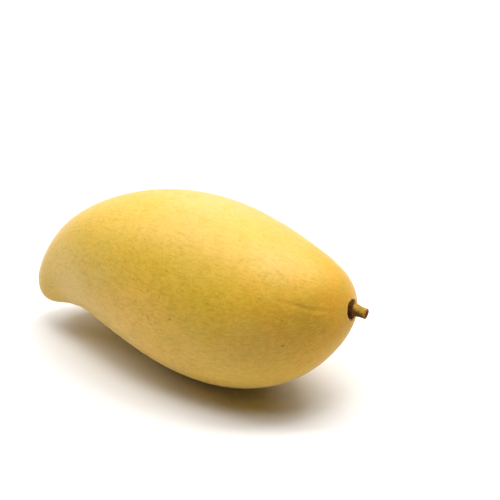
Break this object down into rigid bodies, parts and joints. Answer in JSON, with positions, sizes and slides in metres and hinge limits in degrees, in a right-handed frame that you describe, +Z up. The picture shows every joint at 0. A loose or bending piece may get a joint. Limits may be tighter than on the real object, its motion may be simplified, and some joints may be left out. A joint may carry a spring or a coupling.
{
  "type": "mango",
  "caption": "Long, curved, beaked ripe yellow mango lying on its cheek on a small flat spot, with a short woody stem in a seat at its full end.",
  "frame": {"origin": "centre of the object's box in plan, on the surface that it rests on", "axes": "+X along the fruit from its beak to its stem, +Z up, +Y to the side that its back leans to"},
  "size_m": [0.1474, 0.073, 0.07],
  "materials": {
    "mango_skin": "matte, waxy, ripe yellow fruit skin with fine freckles, a green shade on the cheek and an orange blush by the stem",
    "stem_bark": "dry ochre-brown bark with a dark purple-brown collar and a reddish-brown cut end"
  },
  "bodies": {
    "root": {"fruit": "mango_skin", "stem": "stem_bark"}
  },
  "joints": []
}
